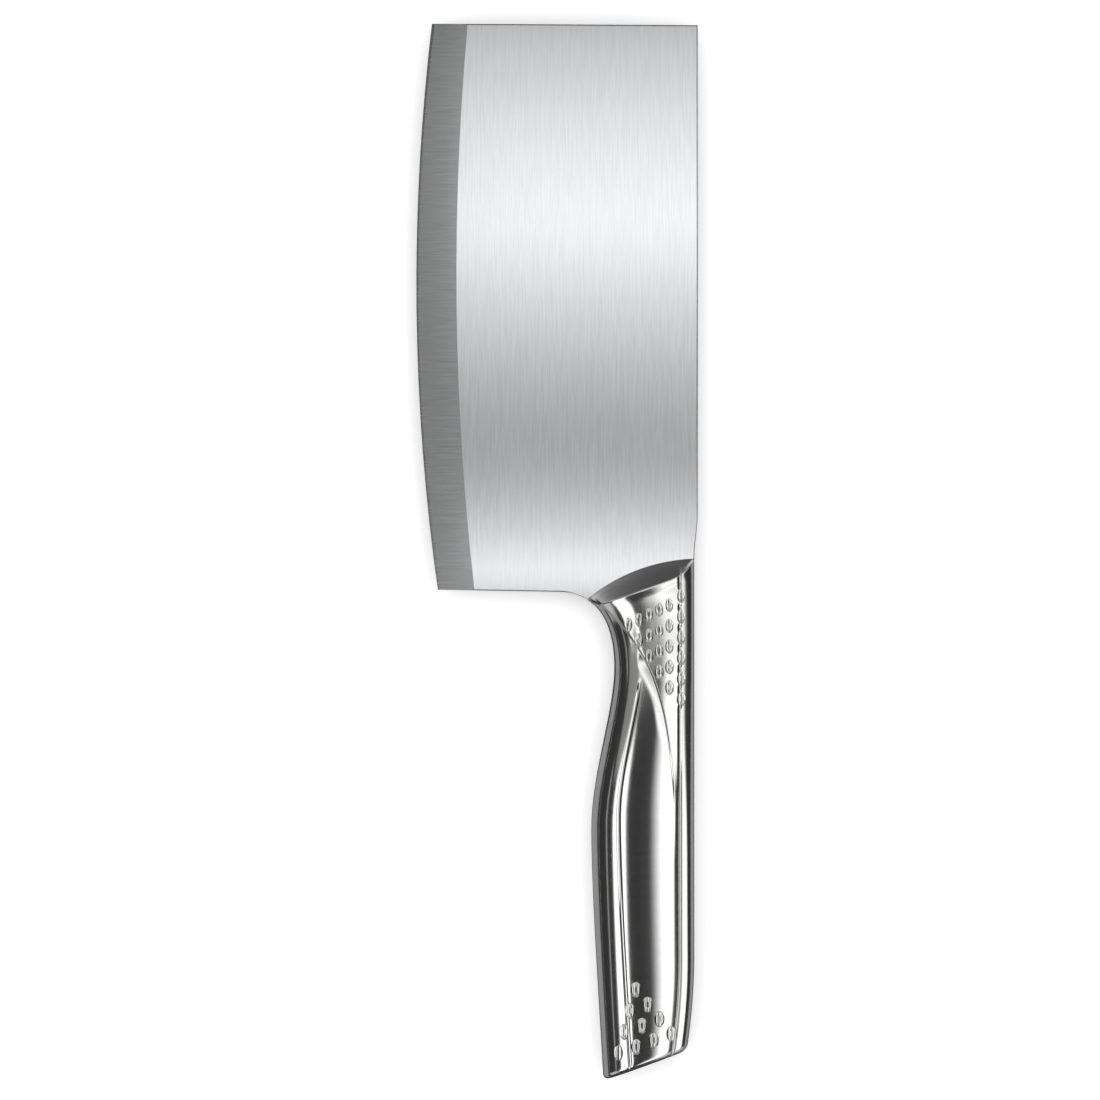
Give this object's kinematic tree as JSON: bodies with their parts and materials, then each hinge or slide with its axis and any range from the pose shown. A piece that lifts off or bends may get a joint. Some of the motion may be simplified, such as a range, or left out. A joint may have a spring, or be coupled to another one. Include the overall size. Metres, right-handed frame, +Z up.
{
  "type": "chinese cleaver",
  "caption": "All-steel Chinese cleaver: a tall ground blade with a curved edge, a hollow-faced bolster and a sculpted hollow handle with bean-shaped grip dimples.",
  "frame": {"origin": "middle of the overall box in plan, at the handle's lowest point when the knife lies on its side", "axes": "+Y runs from the butt to the toe, +X from the cutting edge to the spine, +Z up out of the blade's face"},
  "size_m": [0.082, 0.3074, 0.0196],
  "materials": {
    "blade_steel": "satin",
    "handle_steel": "satin",
    "sand": "matte"
  },
  "bodies": {
    "root": {"blade": "blade_steel", "bolster": "handle_steel", "left_shell": "handle_steel", "right_shell": "handle_steel", "sand_fill": "sand"}
  },
  "joints": []
}
